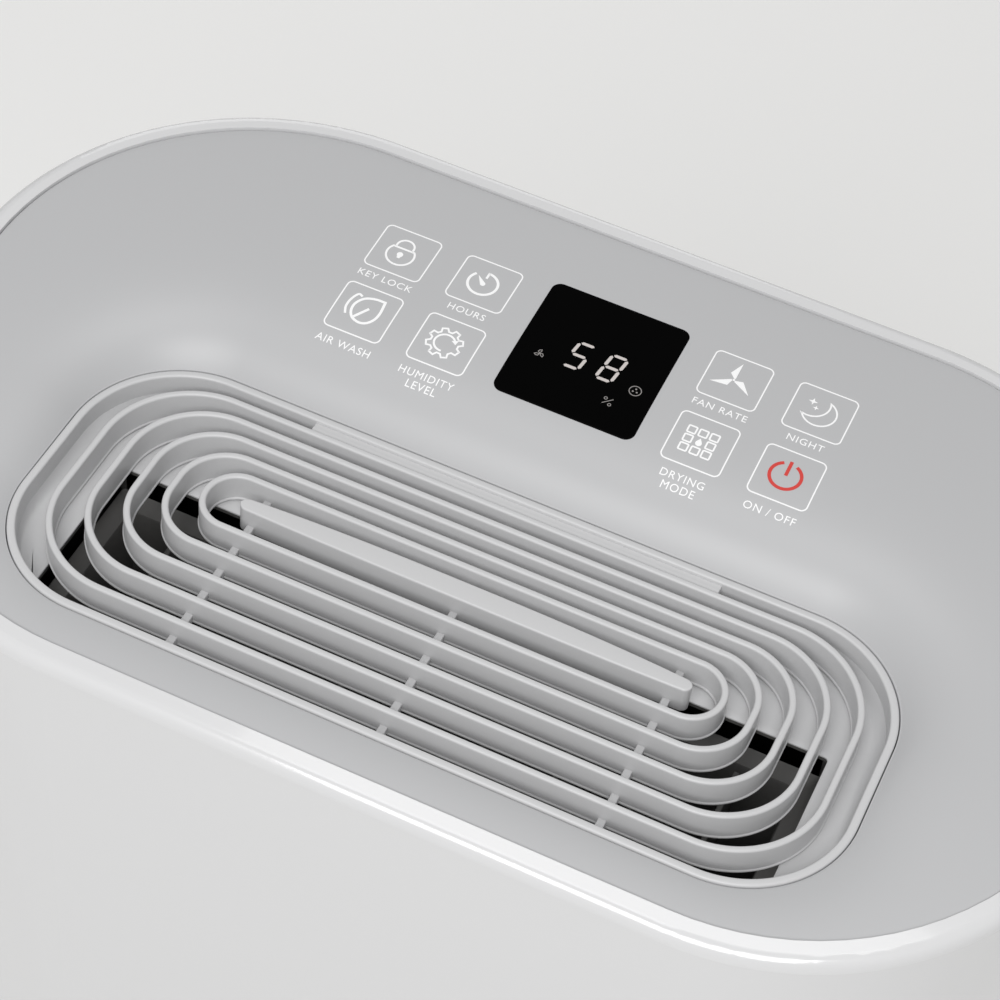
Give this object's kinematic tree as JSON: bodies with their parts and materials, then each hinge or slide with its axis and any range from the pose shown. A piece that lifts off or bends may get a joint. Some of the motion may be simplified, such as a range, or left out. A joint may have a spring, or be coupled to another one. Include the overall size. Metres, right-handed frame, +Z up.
{
  "type": "dehumidifier",
  "caption": "Upright cabinet dehumidifier with a sunken top air outlet, touch panel, front water tank, rear intake and castors.",
  "frame": {"origin": "centre of the footprint, on the floor under the castors", "axes": "+Z up, -Y the front face with the tank, +X to the right seen from the front"},
  "size_m": [0.358, 0.212, 0.5062],
  "materials": {
    "white_shell": "glossy white moulding",
    "white_tank": "glossy white moulding",
    "panel": "satin light grey",
    "outlet": "satin light grey",
    "duct": "grey moulding",
    "window": "gloss black",
    "module": "black housing",
    "board": "green circuit board",
    "spring_steel": "plated",
    "casing": "grey moulding",
    "wheel_plastic": "dark moulding",
    "motor": "grey paint",
    "can": "black paint",
    "rubber": "black rubber",
    "fins": "bare fins",
    "copper": null,
    "clear": "clear blue plastic strip",
    "lid": "grey moulding",
    "foam": "closed foam",
    "black_part": "black moulding",
    "intake": "white moulding",
    "mesh": "nylon mesh",
    "capacitor": "drawn can",
    "castor_body": "black nylon",
    "castor_tyre": "dark grey tread",
    "axle_steel": "turned steel"
  },
  "bodies": {
    "cabinet": {"base_screws": "spring_steel", "base_tray": "casing", "board_cover": "casing", "compressor": "can", "compressor_feet": "rubber", "condenser": "fins", "control_board": "board", "cord_inlet": "rubber", "discharge_pipe": "copper", "display_module": "module", "display_window": "window", "drain_port": "black_part", "drip_tray": "casing", "evaporator": "fins", "fan_casing": "casing", "fan_motor": "motor", "front_shell": "white_shell", "grip_cup_left": "white_tank", "grip_cup_right": "white_tank", "humidity_sensor": "black_part", "mid_deck": "casing", "outlet_duct": "duct", "outlet_grille": "outlet", "rear_shell": "white_shell", "run_capacitor": "capacitor", "suction_pipe": "copper", "tank_bay": "casing", "tank_switch": "black_part", "terminal_cover": "casing", "top_panel": "panel", "touch_board": "board", "touch_springs": "spring_steel"},
    "fan": {"fan_wheel": "wheel_plastic"},
    "tank": {"water_tank": "white_tank", "tank_lid": "lid", "level_window": "clear"},
    "float": {"float_block": "foam"},
    "rear_grille": {"intake_grille": "intake", "filter_frame": "intake", "filter_mesh": "mesh"},
    "drain_cap": {"drain_cap": "white_tank"},
    "swivel_front_left": {"castor_fork_front_left": "castor_body", "castor_axle_front_left": "axle_steel"},
    "roller_front_left": {"castor_wheel_front_left": "castor_tyre"},
    "swivel_front_right": {"castor_fork_front_right": "castor_body", "castor_axle_front_right": "axle_steel"},
    "roller_front_right": {"castor_wheel_front_right": "castor_tyre"},
    "swivel_rear_left": {"castor_fork_rear_left": "castor_body", "castor_axle_rear_left": "axle_steel"},
    "roller_rear_left": {"castor_wheel_rear_left": "castor_tyre"},
    "swivel_rear_right": {"castor_fork_rear_right": "castor_body", "castor_axle_rear_right": "axle_steel"},
    "roller_rear_right": {"castor_wheel_rear_right": "castor_tyre"}
  },
  "joints": [
    {"name": "fan_spin", "type": "hinge", "parent": "cabinet", "child": "fan", "pos_m": [0.045, 0.016, 0.33], "axis": [0, 1, 0], "continuous": true},
    {"name": "tank_slide", "type": "slide", "parent": "cabinet", "child": "tank", "axis": [0, -1, 0], "range_m": [0, 0.12]},
    {"name": "float_lift", "type": "hinge", "parent": "tank", "child": "float", "pos_m": [0.097, 0, 0.187], "axis": [-1, 0, 0], "range_deg": [0, 12]},
    {"name": "rear_grille_pull", "type": "slide", "parent": "cabinet", "child": "rear_grille", "axis": [0, 1, 0], "range_m": [0, 0.04]},
    {"name": "drain_cap_pull", "type": "slide", "parent": "cabinet", "child": "drain_cap", "axis": [0, 1, 0], "range_m": [0, 0.02]},
    {"name": "swivel_front_left", "type": "hinge", "parent": "cabinet", "child": "swivel_front_left", "pos_m": [-0.112, -0.062, 0.0294], "axis": [0, 0, 1], "continuous": true},
    {"name": "roll_front_left", "type": "hinge", "parent": "swivel_front_left", "child": "roller_front_left", "pos_m": [-0.112, -0.056, 0.011], "axis": [1, 0, 0], "continuous": true},
    {"name": "swivel_front_right", "type": "hinge", "parent": "cabinet", "child": "swivel_front_right", "pos_m": [0.112, -0.062, 0.0294], "axis": [0, 0, 1], "continuous": true},
    {"name": "roll_front_right", "type": "hinge", "parent": "swivel_front_right", "child": "roller_front_right", "pos_m": [0.112, -0.056, 0.011], "axis": [1, 0, 0], "continuous": true},
    {"name": "swivel_rear_left", "type": "hinge", "parent": "cabinet", "child": "swivel_rear_left", "pos_m": [-0.112, 0.062, 0.0294], "axis": [0, 0, 1], "continuous": true},
    {"name": "roll_rear_left", "type": "hinge", "parent": "swivel_rear_left", "child": "roller_rear_left", "pos_m": [-0.112, 0.068, 0.011], "axis": [1, 0, 0], "continuous": true},
    {"name": "swivel_rear_right", "type": "hinge", "parent": "cabinet", "child": "swivel_rear_right", "pos_m": [0.112, 0.062, 0.0294], "axis": [0, 0, 1], "continuous": true},
    {"name": "roll_rear_right", "type": "hinge", "parent": "swivel_rear_right", "child": "roller_rear_right", "pos_m": [0.112, 0.068, 0.011], "axis": [1, 0, 0], "continuous": true}
  ]
}
